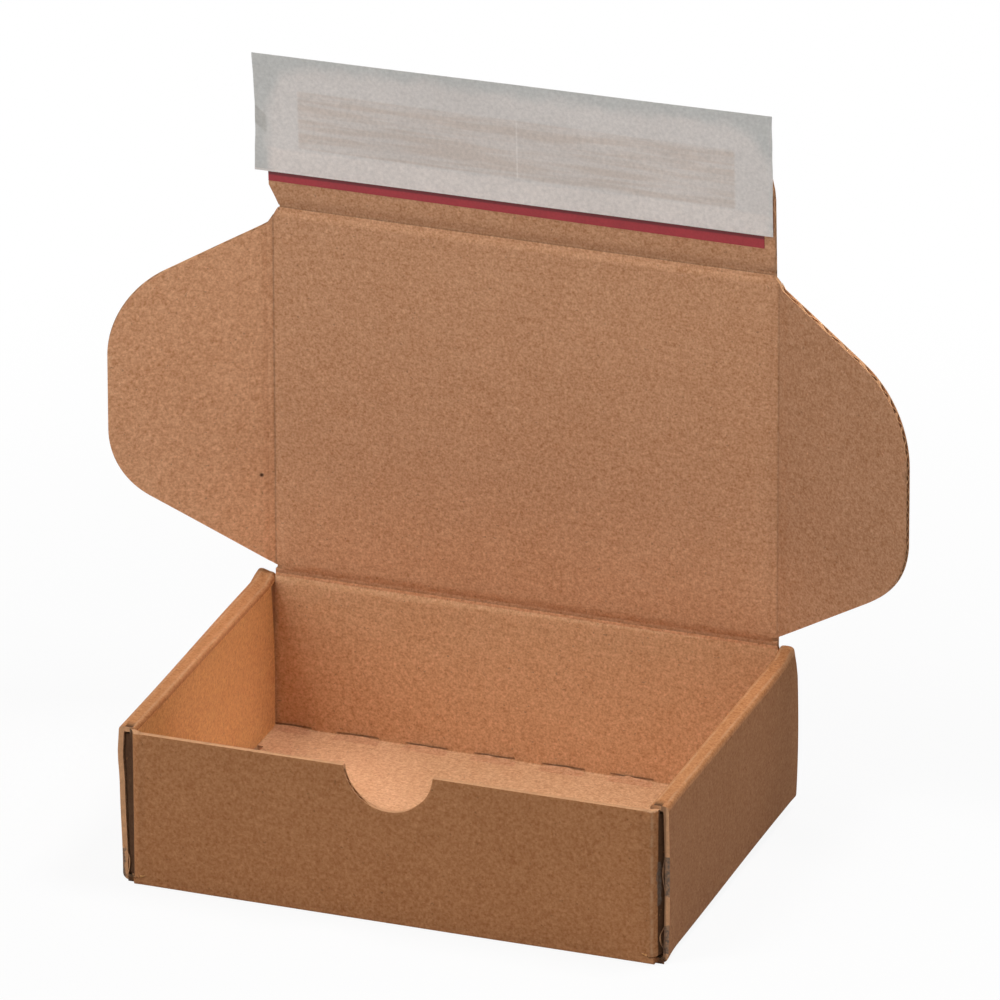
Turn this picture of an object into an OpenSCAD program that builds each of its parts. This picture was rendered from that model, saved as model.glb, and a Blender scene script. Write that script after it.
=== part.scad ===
// Corrugated mailer box, self-locking tray with a hinged lid, millimetres.
// Origin at the middle of the underside: X across the width, Y to the back, Z up.
// The lid stands upright, its wings lean forward and the closure flap leans forward a little.
// Tray, lid, wings and closure flap are cut from one sheet and part only along their creases.

/* [Box] */
// Width over the rolled side walls
box_w = 146.8; // [120:0.2:240]
// Depth from the front wall to the back wall
box_d = 101.4; // [80:0.2:180]
// Height of the rolled side walls
side_h = 42.6; // [30:0.1:80]
// How far the front wall stays below the side walls
front_drop = 0.4; // [0:0.1:3]
// How far the lid's crease lies above the side walls
lid_rise = 2.4; // [2:0.1:4]

/* [Board] */
// Thickness of the corrugated board
board_t = 1.4; // [1.2:0.1:1.8]
// Distance from one flute to the next
flute_pitch = 3.4; // [3:0.1:4]
// Thickness of each facing paper
liner_t = 0.2; // [0.12:0.02:0.24]
// Thickness of the fluted paper between the facings
medium_t = 0.18; // [0.12:0.02:0.22]
// Half width of a flute's crown
crown_half = 0.25; // [0.1:0.05:0.4]

/* [Folds] */
// Outer radius of the folds between floor, walls and roll
fold_r = 1.8; // [1.7:0.1:3]
// Outer radius of the upright folds at the four corners
corner_r = 2.4; // [1.8:0.1:3]
// Space left between two layers that lie on each other
layer_gap = 0.1; // [0.05:0.05:0.3]
// Space between the outer side panel and the corner flaps
outer_gap = 0.3; // [0.1:0.1:1.5]
// Half of the slit along a crease that moves
crease_slit = 0.15; // [0.1:0.05:0.3]
// Run of a crease's slope for each unit of its depth
crease_slope = 1.2; // [1.1:0.05:1.5]

/* [Side walls] */
// How far the side walls start behind the front face
side_front_gap = 2.5; // [2.4:0.1:5]
// How far the side walls end before the back face
side_back_gap = 0.3; // [0.1:0.1:2]
// Length of the corner flaps tucked into the side walls
corner_flap_len = 37; // [15:1:39]
// Slope of the corner flaps' free ends, in degrees
corner_flap_taper = 8; // [0:1:15]
// Length of each lock tab
tab_len = 20; // [10:1:24]
// Distance of the lock tabs from the middle
tab_place = 26; // [14:1:27]
// Clearance around a lock tab in its slot
tab_gap = 0.15; // [0.05:0.05:0.5]
// How far each slot reaches into the box past its tab
slot_reach = 1.6; // [0.2:0.1:3]
// Clip at the inner panel's upper back corner, along the depth
clip_run = 2.4; // [0:0.1:5]
// Height of that clip
clip_h = 16; // [5:1:20]

/* [Thumb notch] */
// Radius of the half-round notch in the front wall
notch_r = 12; // [6:0.5:20]
// How far the notch's centre lies above the front wall's edge
notch_rise = 0.9; // [0:0.1:3]
// Channels of the board that the notch cuts open
notch_channels = 5; // [1:1:5]
// Distance from the front wall's edge to its first channel
notch_margin = 1.9; // [1.2:0.1:2.4]

/* [Cut crease] */
// Length of each cut in the crease between floor and back wall
cut_len = 9.3; // [4:0.1:12]
// Distance from one cut to the next
cut_pitch = 18.8; // [14:0.1:24]
// Width of each cut
cut_w = 0.4; // [0.2:0.05:0.6]
// Number of cuts
cut_count = 7; // [1:1:7]
// Shift of the row of cuts to the left
cut_shift = 5.9; // [0:0.1:6]

/* [Lid] */
// Clearance between the folded wings and the inner side panels
wing_gap = 0.2; // [0.1:0.1:1]
// Clearance between the folded closure flap and the front wall
flap_gap = 0.3; // [0.2:0.1:1]
// Clip at the lid's two front corners, along the closure flap's crease
lid_clip = 1.6; // [0.2:0.1:3]
// Slope of that clip, in degrees
clip_slope = 50; // [30:1:60]

/* [Wings] */
// Length of a wing from its crease to its tip
wing_len = 43; // [20:0.5:43]
// Start of the wing's root above the lid's crease
wing_root = 2.1; // [1.8:0.1:10]
// Length of the clip that runs on from the lid's corner into the wing
wing_clip = 1.5; // [0.5:0.1:4]
// Slope of the wing's edge next to the back wall, in degrees
wing_low_slope = 31.5; // [15:0.5:40]
// Slope of the wing's edge next to the closure flap, in degrees
wing_top_slope = 26; // [15:0.5:35]
// Corner radius next to the back wall
wing_low_r = 22; // [5:1:24]
// Corner radius next to the closure flap
wing_top_r = 27; // [5:1:28]
// How far the wings lean forward of the lid, in degrees
wing_rest = 22; // [0:1:22]

/* [Closure flap] */
// Length of the closure flap from its crease
flap_len = 41; // [20:0.5:41]
// How far the flap's crease starts inside the lid's left edge
flap_left_inset = 2.2; // [0.2:0.1:4]
// How far it ends inside the lid's right edge
flap_right_inset = 1.2; // [0.2:0.1:4]
// How far the flap flares past its crease at the left
flap_flare = 2.8; // [0:0.1:3]
// Height of the flare
flare_h = 7; // [2:0.5:7]
// Radius of the flap's two free corners
flap_corner_r = 14; // [2:0.5:20]
// How far the flap leans forward of the lid, in degrees
flap_rest = 3; // [0:1:10]

/* [Seal] */
// Width of the release liner
release_w = 141; // [120:0.5:142]
// Height of the release liner
release_h = 33.4; // [15:0.2:33.6]
// Start of the release liner above the flap's crease
release_start = 10.1; // [9:0.1:14]
// Shift of the release liner to the left
release_shift = 3.4; // [0:0.1:4]
// Thickness of the release liner
release_t = 0.15; // [0.1:0.05:0.2]
// Width of the adhesive strip
glue_w = 118; // [60:1:118]
// Height of the adhesive strip
glue_h = 14.4; // [5:0.2:16]
// Start of the adhesive strip above the flap's crease
glue_start = 17.4; // [16:0.2:22]
// Thickness of the adhesive strip
glue_t = 0.15; // [0.1:0.05:0.2]
// Height of the tear strip
tear_h = 4.2; // [3:0.1:5]
// Start of the tear strip above the flap's crease
tear_start = 7.3; // [5:0.1:7.5]
// How far the tear strip stops short of the flap's right edge
tear_short = 2.8; // [0:0.1:10]
// Thickness of the tear strip
tear_t = 0.1; // [0.05:0.05:0.1]

/* [Hidden] */
$fn = 64;
half = board_t / 2;
kraft = "#b78a62";
kraft_inside = "#c39a72";

// Planes of the tray, from outside to inside
side_out = box_w / 2;
corner_out = side_out - board_t - outer_gap;
inner_out = corner_out - board_t - layer_gap;
inner_in = inner_out - board_t;
front_y = -box_d / 2;
back_y = box_d / 2;
front_h = side_h - front_drop;
hinge_z = side_h + lid_rise;
hinge_y = back_y - half;
corner_top = side_h - fold_r - outer_gap;
corner_low = fold_r + outer_gap;
panel_low = board_t + layer_gap;

// The lid lies over the tray when it is shut, its flap in front of the front wall
wing_x = inner_in - wing_gap;
seal_t = glue_t + release_t;
lid_len = box_d + seal_t + flap_gap;
flap_z = hinge_z + lid_len;
flap_left = -wing_x + flap_left_inset;
flap_right = wing_x - flap_right_inset;
flap_edge = flap_left - flap_flare;
crease_run = half * crease_slope;
wing_run = board_t * crease_slope;

// Section across the flutes
function flute_margin() = board_t + crease_run;
function flute_count(span) = floor((span - 2 * flute_margin()) / flute_pitch);
function flute_start(span) = (span - flute_count(span) * flute_pitch) / 2;
core_t = board_t - 2 * liner_t;
flank_run = flute_pitch / 2 - 2 * crown_half;
flank_rise = core_t - 2 * medium_t;
// Lean of the flanks, in run for each unit of rise, at which they are medium_t thick
flank_lean = (flank_run * flank_rise
              - medium_t * sqrt(pow(flank_run, 2) + pow(flank_rise, 2) - pow(medium_t, 2)))
             / (pow(flank_rise, 2) - pow(medium_t, 2));
base_half = crown_half + flank_lean * (core_t - medium_t);

// One channel of the section, wide at y = 0 and narrow at its crown
module channel() {
    polygon([[-base_half, 0], [base_half, 0],
             [crown_half, core_t - medium_t], [-crown_half, core_t - medium_t]]);
}

// Section of a board: x runs across the flutes, y through the thickness
module board_section(span) {
    difference() {
        square([span, board_t]);
        for (i = [0 : flute_count(span) - 1]) {
            translate([flute_start(span) + (i + 0.25) * flute_pitch, liner_t]) channel();
            translate([flute_start(span) + (i + 0.75) * flute_pitch, board_t - liner_t])
                mirror([0, 1]) channel();
        }
    }
}

// Board standing on the lid's plane with its flutes along X, from x = 0 to wide
module standing_board(wide, span) {
    translate([wide, back_y - board_t, 0])
        rotate([0, -90, 0]) linear_extrude(wide) board_section(span);
}

// Outline drawn in X and Z, cut through the lid's plane
module through_lid() {
    translate([0, back_y + board_t, 0])
        rotate([90, 0, 0]) linear_extrude(3 * board_t) children();
}

// Wedge taken off the inner side of a wing's crease, drawn in X out from the crease
// and Y out from the inner face, down to the slit in the outer face
module wing_crease_cut() {
    polygon([[crease_slit, board_t], [-crease_slit, board_t],
             [-crease_slit - 2 * wing_run, -board_t], [crease_slit + 2 * wing_run, -board_t]]);
}

// The same wedge along the whole of the right wing's crease
module wing_crease() {
    translate([wing_x, back_y - board_t, hinge_z - board_t])
        linear_extrude(lid_len + 2 * board_t) wing_crease_cut();
}

// Wedges taken off both faces of an end crease at height z, down to the slit between them
module end_crease(z) {
    along_x(side_out) translate([hinge_y, z]) for (side = [-1, 1])
        polygon([[side * crease_slit, crease_slit], [side * crease_slit, -crease_slit],
                 [side * board_t, -2 * crease_run - crease_slit],
                 [side * board_t, 2 * crease_run + crease_slit]]);
}

// A quarter of a fold in section, centred on the fold, in the quadrant of sx and sy
module fold(r, sx, sy) {
    intersection() {
        difference() {
            circle(r);
            circle(r - board_t);
        }
        translate([min(sx, 0) * r, min(sy, 0) * r]) square(r);
    }
}

// Profile drawn in Y and Z, run along X from -reach to reach
module along_x(reach) {
    translate([-reach, 0, 0]) rotate([90, 0, 90]) linear_extrude(2 * reach) children();
}

// Profile drawn in X and Z, run along Y from y0 to y1
module along_y(y0, y1) {
    translate([0, y1, 0]) rotate([90, 0, 0]) linear_extrude(y1 - y0) children();
}

// Front wall with its fold to the floor
module front_wall() {
    along_x(corner_out - corner_r) {
        translate([front_y, fold_r]) square([board_t, front_h - fold_r]);
        translate([front_y + fold_r, fold_r]) fold(fold_r, -1, -1);
    }
}

// Back wall, whose top edge is the lower half of the lid's crease
module back_wall() {
    shoulder = corner_top;
    along_x(corner_out - corner_r) {
        translate([back_y - board_t, fold_r]) square([board_t, shoulder - fold_r]);
        translate([back_y - fold_r, fold_r]) fold(fold_r, 1, -1);
    }
    difference() {
        along_x(wing_x) translate([back_y - board_t, shoulder - board_t])
            square([board_t, hinge_z - crease_slit - shoulder + board_t]);
        end_crease(hinge_z);
    }
}

// Flat of the floor
module floor_panel() {
    translate([-side_out + fold_r, front_y + fold_r, 0])
        cube([box_w - 2 * fold_r, box_d - 2 * fold_r, board_t]);
}

// Corner flap at the front right: the upright fold and the flap inside the side wall
module corner_flap(fold_top) {
    translate([corner_out - corner_r, front_y + corner_r, corner_low])
        linear_extrude(fold_top - corner_low) fold(corner_r, 1, -1);
    slant = (corner_top - corner_low) * tan(corner_flap_taper);
    end_y = front_y + corner_flap_len;
    translate([corner_out - board_t, 0, 0]) rotate([90, 0, 90]) linear_extrude(board_t)
        polygon([[front_y + corner_r, corner_low], [end_y, corner_low],
                 [end_y - slant, corner_top], [front_y + corner_r, corner_top]]);
}

// Lock tab places along the side wall
module at_tabs() {
    for (y = [-tab_place, tab_place]) translate([0, y, 0]) children();
}

// Right side wall, rolled from the outer panel over the top strip to the inner panel
module side_wall() {
    y0 = front_y + side_front_gap;
    y1 = back_y - side_back_gap;
    inner_y1 = back_y - board_t - side_back_gap;
    along_y(y0, y1) {
        translate([side_out - fold_r, fold_r]) fold(fold_r, 1, -1);
        translate([side_out - board_t, fold_r]) square([board_t, side_h - 2 * fold_r]);
        translate([side_out - fold_r, side_h - fold_r]) fold(fold_r, 1, 1);
        translate([inner_in + fold_r, side_h - board_t])
            square([side_out - inner_in - 2 * fold_r, board_t]);
        translate([inner_in + fold_r, side_h - fold_r]) fold(fold_r, -1, 1);
    }
    translate([inner_in, 0, 0]) rotate([90, 0, 90]) linear_extrude(board_t)
        polygon([[y0, panel_low], [inner_y1, panel_low], [inner_y1, side_h - fold_r - clip_h],
                 [inner_y1 - clip_run, side_h - fold_r], [y0, side_h - fold_r]]);
    at_tabs() translate([inner_in, -tab_len / 2, layer_gap])
        cube([board_t, tab_len, board_t + layer_gap]);
}

// Slots in the floor that take the lock tabs of the right side wall
module lock_slots() {
    at_tabs() translate([inner_in - slot_reach, -tab_len / 2 - tab_gap, -board_t])
        cube([slot_reach + board_t + tab_gap, tab_len + 2 * tab_gap, 2 * board_t + layer_gap / 2]);
}

// Half-round thumb notch through the front wall, and the channels that it cuts open
module thumb_notch() {
    translate([0, front_y - board_t, front_h + notch_rise])
        rotate([-90, 0, 0]) cylinder(h = 3 * board_t, r = notch_r);
    along_x(corner_out - corner_r) for (i = [0 : notch_channels - 1]) {
        inward = i % 2;
        translate([front_y + (inward ? board_t - liner_t : liner_t),
                   front_h - notch_margin - i * flute_pitch / 2])
            rotate([0, 0, inward ? 90 : -90]) channel();
    }
}

// Cuts through the fold between floor and back wall
module cut_crease() {
    for (i = [0 : cut_count - 1])
        translate([(i - (cut_count - 1) / 2) * cut_pitch - cut_shift, back_y - fold_r, fold_r])
            rotate([-135, 0, 0]) translate([-cut_len / 2, 0, -cut_w / 2])
                cube([cut_len, fold_r + board_t, cut_w]);
}

// Both sides of a feature that is drawn on the right
module both_sides() {
    children();
    mirror([1, 0, 0]) children();
}

module tray() {
    color(kraft) {
        difference() {
            union() {
                floor_panel();
                front_wall();
                back_wall();
                both_sides() {
                    corner_flap(front_h);
                    mirror([0, 1, 0]) corner_flap(corner_top);
                }
            }
            thumb_notch();
            cut_crease();
            both_sides() lock_slots();
        }
        both_sides() side_wall();
    }
}

// Outline of the lid in X and Z
module lid_outline() {
    x1 = wing_x - crease_slit;
    z0 = hinge_z + crease_slit;
    z1 = flap_z - crease_slit;
    drop = lid_clip * tan(clip_slope);
    polygon([[-x1, z0], [x1, z0], [x1, z1 - drop], [x1 - lid_clip, z1],
             [-x1 + lid_clip, z1], [-x1, z1 - drop]]);
}

module lid() {
    color(kraft_inside) difference() {
        intersection() {
            translate([-wing_x, 0, hinge_z]) standing_board(2 * wing_x, lid_len);
            through_lid() lid_outline();
        }
        end_crease(hinge_z);
        end_crease(flap_z);
        both_sides() wing_crease();
    }
}

// Outline of the right wing, out from the crease and up from the lid's crease
module wing_outline() {
    low_z = wing_root;
    clip_z = lid_len - lid_clip * tan(clip_slope);
    top_z = clip_z - wing_clip * (tan(clip_slope) - tan(wing_top_slope));
    low_c = [wing_len - wing_low_r, low_z + wing_len * tan(wing_low_slope)
             + wing_low_r * (1 / cos(wing_low_slope) - tan(wing_low_slope))];
    top_c = [wing_len - wing_top_r, top_z - wing_len * tan(wing_top_slope)
             - wing_top_r * (1 / cos(wing_top_slope) - tan(wing_top_slope))];
    low_end = low_c + wing_low_r * [sin(wing_low_slope), -cos(wing_low_slope)];
    top_end = top_c + wing_top_r * [sin(wing_top_slope), cos(wing_top_slope)];
    polygon([[crease_slit, low_z], low_end, low_c, [wing_len, low_c[1]], [wing_len, top_c[1]],
             top_c, top_end, [wing_clip, top_z - wing_clip * tan(wing_top_slope)],
             [crease_slit, clip_z - crease_slit * tan(clip_slope)]]);
    translate(low_c) circle(wing_low_r);
    translate(top_c) circle(wing_top_r);
}

// Right wing, folded forward about the crease in the lid's outer face
module wing() {
    translate([wing_x, back_y, 0]) rotate([0, 0, -wing_rest]) translate([-wing_x, -back_y, 0])
        difference() {
            intersection() {
                translate([wing_x, 0, hinge_z]) standing_board(wing_len, lid_len);
                translate([wing_x, 0, hinge_z]) through_lid() wing_outline();
            }
            wing_crease();
        }
}

module wing_left() {
    color(kraft_inside) mirror([1, 0, 0]) wing();
}

module wing_right() {
    color(kraft_inside) wing();
}

// Moves what is drawn on the lid's plane to the closure flap's lean
module at_flap() {
    translate([0, hinge_y, flap_z]) rotate([flap_rest, 0, 0]) translate([0, -hinge_y, -flap_z])
        children();
}

// Outline of the closure flap, up from its crease
module flap_outline() {
    left = flap_edge + flap_corner_r;
    right = flap_right - flap_corner_r;
    top = flap_len - flap_corner_r;
    polygon([[flap_left, crease_slit], [flap_right, crease_slit], [flap_right, top],
             [right, top], [right, flap_len], [left, flap_len], [left, top],
             [flap_edge, top], [flap_edge, flare_h]]);
    for (x = [left, right]) translate([x, top]) circle(flap_corner_r);
}

module closure_flap() {
    color(kraft_inside) at_flap() difference() {
        intersection() {
            translate([flap_edge, 0, flap_z]) standing_board(flap_right - flap_edge, flap_len);
            translate([0, 0, flap_z]) through_lid() flap_outline();
        }
        end_crease(flap_z);
    }
}

// Flat sheet on the flap's inner face: left edge, start, size, thickness and lift off the face
module on_flap(left, start, wide, high, thick, lift) {
    at_flap() translate([left, back_y - board_t - lift - thick, flap_z + start])
        cube([wide, thick, high]);
}

module adhesive_strip() {
    color("#b9a58c") on_flap(-glue_w / 2, glue_start, glue_w, glue_h, glue_t, 0);
}

module release_liner() {
    color("#c9c8c2") on_flap(-release_w / 2 - release_shift, release_start,
                             release_w, release_h, release_t, glue_t);
}

module tear_strip() {
    color("#9a3038") on_flap(flap_edge, tear_start,
                             flap_right - flap_edge - tear_short, tear_h, tear_t, 0);
}

tray();
lid();
wing_left();
wing_right();
closure_flap();
adhesive_strip();
release_liner();
tear_strip();
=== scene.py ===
import math

import bmesh
import bpy
from mathutils import Matrix, Vector, noise


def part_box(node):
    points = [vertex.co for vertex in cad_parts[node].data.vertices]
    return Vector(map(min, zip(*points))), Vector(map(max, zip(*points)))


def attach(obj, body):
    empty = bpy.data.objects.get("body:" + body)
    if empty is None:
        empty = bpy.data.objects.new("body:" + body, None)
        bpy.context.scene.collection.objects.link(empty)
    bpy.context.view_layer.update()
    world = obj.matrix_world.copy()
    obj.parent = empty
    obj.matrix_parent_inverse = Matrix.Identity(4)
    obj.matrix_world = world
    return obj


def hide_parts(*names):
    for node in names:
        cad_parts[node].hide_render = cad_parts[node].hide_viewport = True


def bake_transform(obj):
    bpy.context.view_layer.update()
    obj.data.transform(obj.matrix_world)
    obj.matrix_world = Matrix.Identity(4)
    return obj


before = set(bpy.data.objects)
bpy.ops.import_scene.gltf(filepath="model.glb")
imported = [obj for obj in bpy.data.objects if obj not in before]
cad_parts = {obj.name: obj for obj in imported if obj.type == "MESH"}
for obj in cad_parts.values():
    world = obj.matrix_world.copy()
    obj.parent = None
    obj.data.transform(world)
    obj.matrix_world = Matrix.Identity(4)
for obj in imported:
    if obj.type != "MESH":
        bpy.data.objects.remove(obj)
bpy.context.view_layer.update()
MM = 0.001

# Camera, at the photograph's viewing angle
AZIMUTH = math.radians(20.25)
ELEVATION = math.radians(23.65)
ROLL = math.radians(-0.16)
DISTANCE = 3483 * MM
AIM_RIGHT = 10.75 * MM
AIM_UP = 87.61 * MM
FOCAL_PX = 13677
PICTURE_PX = 1000
SENSOR_MM = 36
CLIP_NEAR = 0.1
CLIP_FAR = 50

# Name, azimuth, elevation, distance, size, power, spread and aim of each lamp
MIDDLE = (0, 0, 80)
LAMPS = [
    ("left_front", -40, 30, 1.5, 1.0, 5.0, 180, MIDDLE),
    ("key", -45, 60.8, 1.5, 0.45, 6.5, 180, MIDDLE),
    ("near_top", 100, 70, 0.5, 0.15, 1.6, 180, MIDDLE),
    ("box_beam", 88, 52, 0.6, 0.06, 0.005, 6, (-50, 10, 15)),
]
WORLD_STRENGTH = 0.25
FLOOR_COLOUR = 0.8
FLOOR_RADIUS = 6
FLOOR_GLOW = 0.91
GLOW_FROM = 0.12
GLOW_FULL = 0.4

# Sizes of the object that the frame doesn't state by itself, in metres
BOARD = 1.4 * MM
SLIT = 0.15 * MM
CREASE_RUN = 0.84 * MM
WING_RUN = 1.68 * MM
PITCH = 3.4 * MM
FOLD_R = 1.8 * MM
LAYER = 0.1 * MM
tray_low, tray_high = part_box("tray")
lid_low, lid_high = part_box("lid")
flap_low, flap_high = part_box("closure_flap")
SIDE_OUT = tray_high.x
FRONT_Y = tray_low.y
BACK_Y = tray_high.y
WING_X = lid_high.x + SLIT
WING_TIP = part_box("wing_right")[1].x
HINGE_Z = lid_low.z - SLIT
FLAP_Z = lid_high.z + SLIT
HINGE_Y = BACK_Y - BOARD / 2
WING_REST = math.radians(22)
FLAP_REST = math.radians(3)
SIDE_H = HINGE_Z - 2.4 * MM
FRONT_H = SIDE_H - 0.4 * MM
CORNER_OUT = SIDE_OUT - 1.7 * MM
INNER_OUT = CORNER_OUT - BOARD - LAYER
INNER_IN = INNER_OUT - BOARD
FLAP_LEFT = flap_low.x
FLAP_RIGHT = flap_high.x
FLAP_LEN = 41 * MM
FLAP_CORNER = 14 * MM
LINER_START = 10.1 * MM
LINER_TALL = 33.4 * MM
LINER_WIDE = 141 * MM
LINER_SLIP = 0.9 * MM
LINER_THICK = 0.12 * MM
PAD_LOW = 17.4 * MM
PAD_HIGH = 33.4 * MM
PAD_LEFT = -60.5 * MM
PAD_RIGHT = 57 * MM
CUT_PITCH = 18.8 * MM
CUT_SHIFT = 8.3 * MM
CUT_LEN = 11.5 * MM
CUTS = 7
SPOT = (-71.7 * MM, 48.35 * MM, 72.3 * MM)
SPOT_RADIUS = 0.7 * MM

# Where the facing paper of the side panels' front edges has come off: X and Z limits
TORN_PLACES = [
    (SIDE_OUT - 0.8 * MM, SIDE_OUT + 2 * MM, 18.5 * MM, 29.5 * MM),
    (SIDE_OUT - 1.2 * MM, SIDE_OUT + 2 * MM, 2.5 * MM, 10.0 * MM),
    (-SIDE_OUT - 2 * MM, -SIDE_OUT + 1.3 * MM, 0.5 * MM, 8.5 * MM),
]

# The line of each loose ply there, from its top down: X and Z in millimetres
PLIES = {
    "ply_right_low": [(72.9, 10.6), (72.2, 9.2), (71.5, 7.4), (71.7, 5.4), (72.6, 3.6), (72.7, 1.8),
                      (72.3, 0.4)],
    "ply_right_high": [(72.9, 30.2), (72.4, 27.5), (72.2, 24.5), (72.5, 21.4), (72.9, 18.6)],
    "ply_left_low": [(-72.4, 9.6), (-71.5, 7.9), (-70.8, 6.0), (-70.8, 4.4), (-71.2, 2.2), (-71.8, 0.5)],
}

# Meshes: measures that count as equal, the spacing of the points, the faces' papers and the waves' start
TOUCH = 0.01 * MM
DIVISION = 3 * MM
STRIP_DIVISION = 2 * MM
STRIP_STEPS = 10
INSIDE_FACE, OUTSIDE_FACE, CUT_FACE, ROLLED_LIT_FACE = 0, 1, 2, 3
WAVE_SEED = 5
INWARD = Vector((0, -1, 0))
RIGHT = Vector((1, 0, 0))
UP = Vector((0, 0, 1))

# Colours, linear
OUTSIDE = (0.365, 0.158, 0.063)
INSIDE = (0.555, 0.286, 0.152)
INSIDE_TRAY = (0.555, 0.312, 0.166)
# The outer paper again, painted lighter and warmer where it rolls inside the box, for the light bounced there
ROLLED_LIT = (0.61, 0.305, 0.113)
CUT_EDGE = (0.54, 0.285, 0.145)
TORN_CORE = (0.15, 0.105, 0.078)
# Light scored lines: partly wear, partly painted highlight
WEAR_AND_HIGHLIGHT = (0.56, 0.36, 0.21)
STAIN = (0.06, 0.025, 0.012)
SLIT_SHADE = (0.12, 0.055, 0.028)
# The liner's colours paint the light that comes back through it from the board, a highlight on its lower edge
# and the shade of a fold
LINER = (0.7, 0.66, 0.63)
LINER_LOW = (0.76, 0.7, 0.66)
LINER_GLUED = (0.63, 0.55, 0.495)
LINER_BARE = (0.57, 0.57, 0.55)
LINER_FOLD_SHADE = (0.42, 0.4, 0.37)
LINER_SEAM = (0.9, 0.86, 0.82)
LINER_EDGE_HIGHLIGHT = (0.86, 0.78, 0.74)
TEAR_RED = (0.37, 0.026, 0.036)
GLUE = (0.5, 0.4, 0.3)

# How much the paper's grain changes red, green and blue
GRAIN = (0.42, 0.6, 0.8)
# Each layer of the grain: size, detail, roughness, stretch along X and weight
GRAIN_LAYERS = {
    "blotch": (1.3 * MM, 2.0, 0.6, 1.0, 0.6),
    "fibre": (0.6 * MM, 2.0, 0.6, 1.0, 1.0),
    "streak": (0.8 * MM, 2.0, 0.5, 0.6, 0.3),
    "mottle": (6 * MM, 3.0, 0.55, 1.0, 0.16),
    "cloud": (40 * MM, 2.0, 0.5, 1.0, 0.1),
}
RIB_WEIGHT = 0.006

# Painted light and shade: how much lighter or darker some panels are painted than the rest of their side, for
# how the light falls on them
STRIP_PAINTED_LIGHT = 1.2
BACK_PAINTED_LIGHT = 1.22
FLOOR_PAINTED_LIGHT = 1.08
SIDE_PAINTED_SHADE = 0.86
LEFT_WING_PAINTED_LIGHT = 1.15
RIGHT_WING_PAINTED_SHADE = 0.79
GAP_PAINTED_SHADE = 0.2


def add_object(name, data):
    """A new object in the scene."""
    thing = bpy.data.objects.new(name, data)
    bpy.context.scene.collection.objects.link(thing)
    return thing


def toward(azimuth, elevation):
    """The direction from the middle to a viewer or a lamp; azimuth 0 lies in front."""
    return Vector((math.sin(azimuth) * math.cos(elevation), -math.cos(azimuth) * math.cos(elevation),
                   math.sin(elevation)))


def make_camera():
    """The camera looks along the photograph's line of sight, moved sideways in its own plane."""
    back = toward(AZIMUTH, ELEVATION)
    right = Vector((math.cos(AZIMUTH), math.sin(AZIMUTH), 0))
    up = back.cross(right)
    turn = Matrix((right, up, back)).transposed() @ Matrix.Rotation(ROLL, 3, "Z")
    data = bpy.data.cameras.new("camera")
    data.sensor_width = SENSOR_MM
    data.lens = FOCAL_PX / PICTURE_PX * SENSOR_MM
    data.clip_start = CLIP_NEAR
    data.clip_end = CLIP_FAR
    camera = add_object("camera", data)
    place = back * DISTANCE + right * AIM_RIGHT + up * AIM_UP
    camera.matrix_world = Matrix.Translation(place) @ turn.to_4x4()
    bpy.context.scene.camera = camera


def make_lamps():
    """Square soft lamps, each looking at its aim."""
    for name, azimuth, elevation, distance, size, power, spread, aim in LAMPS:
        back = toward(math.radians(azimuth), math.radians(elevation))
        data = bpy.data.lights.new(name, "AREA")
        data.size = size
        data.energy = power
        data.spread = math.radians(spread)
        lamp = add_object(name, data)
        lamp.location = back * distance + Vector(aim) * MM
        lamp.rotation_mode = "QUATERNION"
        lamp.rotation_quaternion = back.to_track_quat("Z", "Y")


class Nodes:
    """A node tree, with short calls for the nodes that the world, the floor and the papers share."""

    def __init__(self, tree):
        self.tree = tree

    def new(self, kind, **settings):
        node = self.tree.nodes.new(kind)
        for name, value in settings.items():
            setattr(node, name, value)
        return node

    def set(self, socket, value):
        """A value, or another node's output, on a socket."""
        if isinstance(value, bpy.types.NodeSocket):
            self.tree.links.new(value, socket)
        else:
            socket.default_value = value

    def place(self):
        """The object's own coordinates."""
        return self.new("ShaderNodeTexCoord").outputs["Object"]

    def math(self, operation, a, b=0.0, c=0.0, clamp=False):
        node = self.new("ShaderNodeMath", operation=operation, use_clamp=clamp)
        for socket, value in zip(node.inputs, (a, b, c)):
            self.set(socket, value)
        return node.outputs[0]

    def times(self, product, *factors):
        for factor in factors:
            product = self.math("MULTIPLY", product, factor)
        return product

    def vector(self, operation, a, b=(0.0, 0.0, 0.0), output="Vector"):
        node = self.new("ShaderNodeVectorMath", operation=operation)
        self.set(node.inputs[0], a)
        node.inputs[1].default_value = b
        return node.outputs[output]

    def axes(self, vector=None):
        """A vector's parts, or the object's own coordinates one by one."""
        node = self.new("ShaderNodeSeparateXYZ")
        self.set(node.inputs[0], vector or self.place())
        return node.outputs

    def range(self, value, low, high, to_low=0.0, to_high=1.0):
        """A soft change from to_low at low to to_high at high."""
        node = self.new("ShaderNodeMapRange", interpolation_type="SMOOTHSTEP")
        self.set(node.inputs["Value"], value)
        limits = (("From Min", low), ("From Max", high), ("To Min", to_low), ("To Max", to_high))
        for name, number in limits:
            node.inputs[name].default_value = number
        return node.outputs["Result"]

    def fall(self, value, low, high):
        """1 below low, fading to 0 at high."""
        return self.range(value, low, high, 1.0, 0.0)

    def seen_rays(self):
        """1 for camera, glossy and transmitted rays, and 0 for the rays that light the object."""
        rays = self.new("ShaderNodeLightPath").outputs
        total = rays["Is Camera Ray"]
        for name in ("Is Glossy Ray", "Is Transmission Ray"):
            total = self.math("ADD", total, rays[name], clamp=True)
        return total


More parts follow.
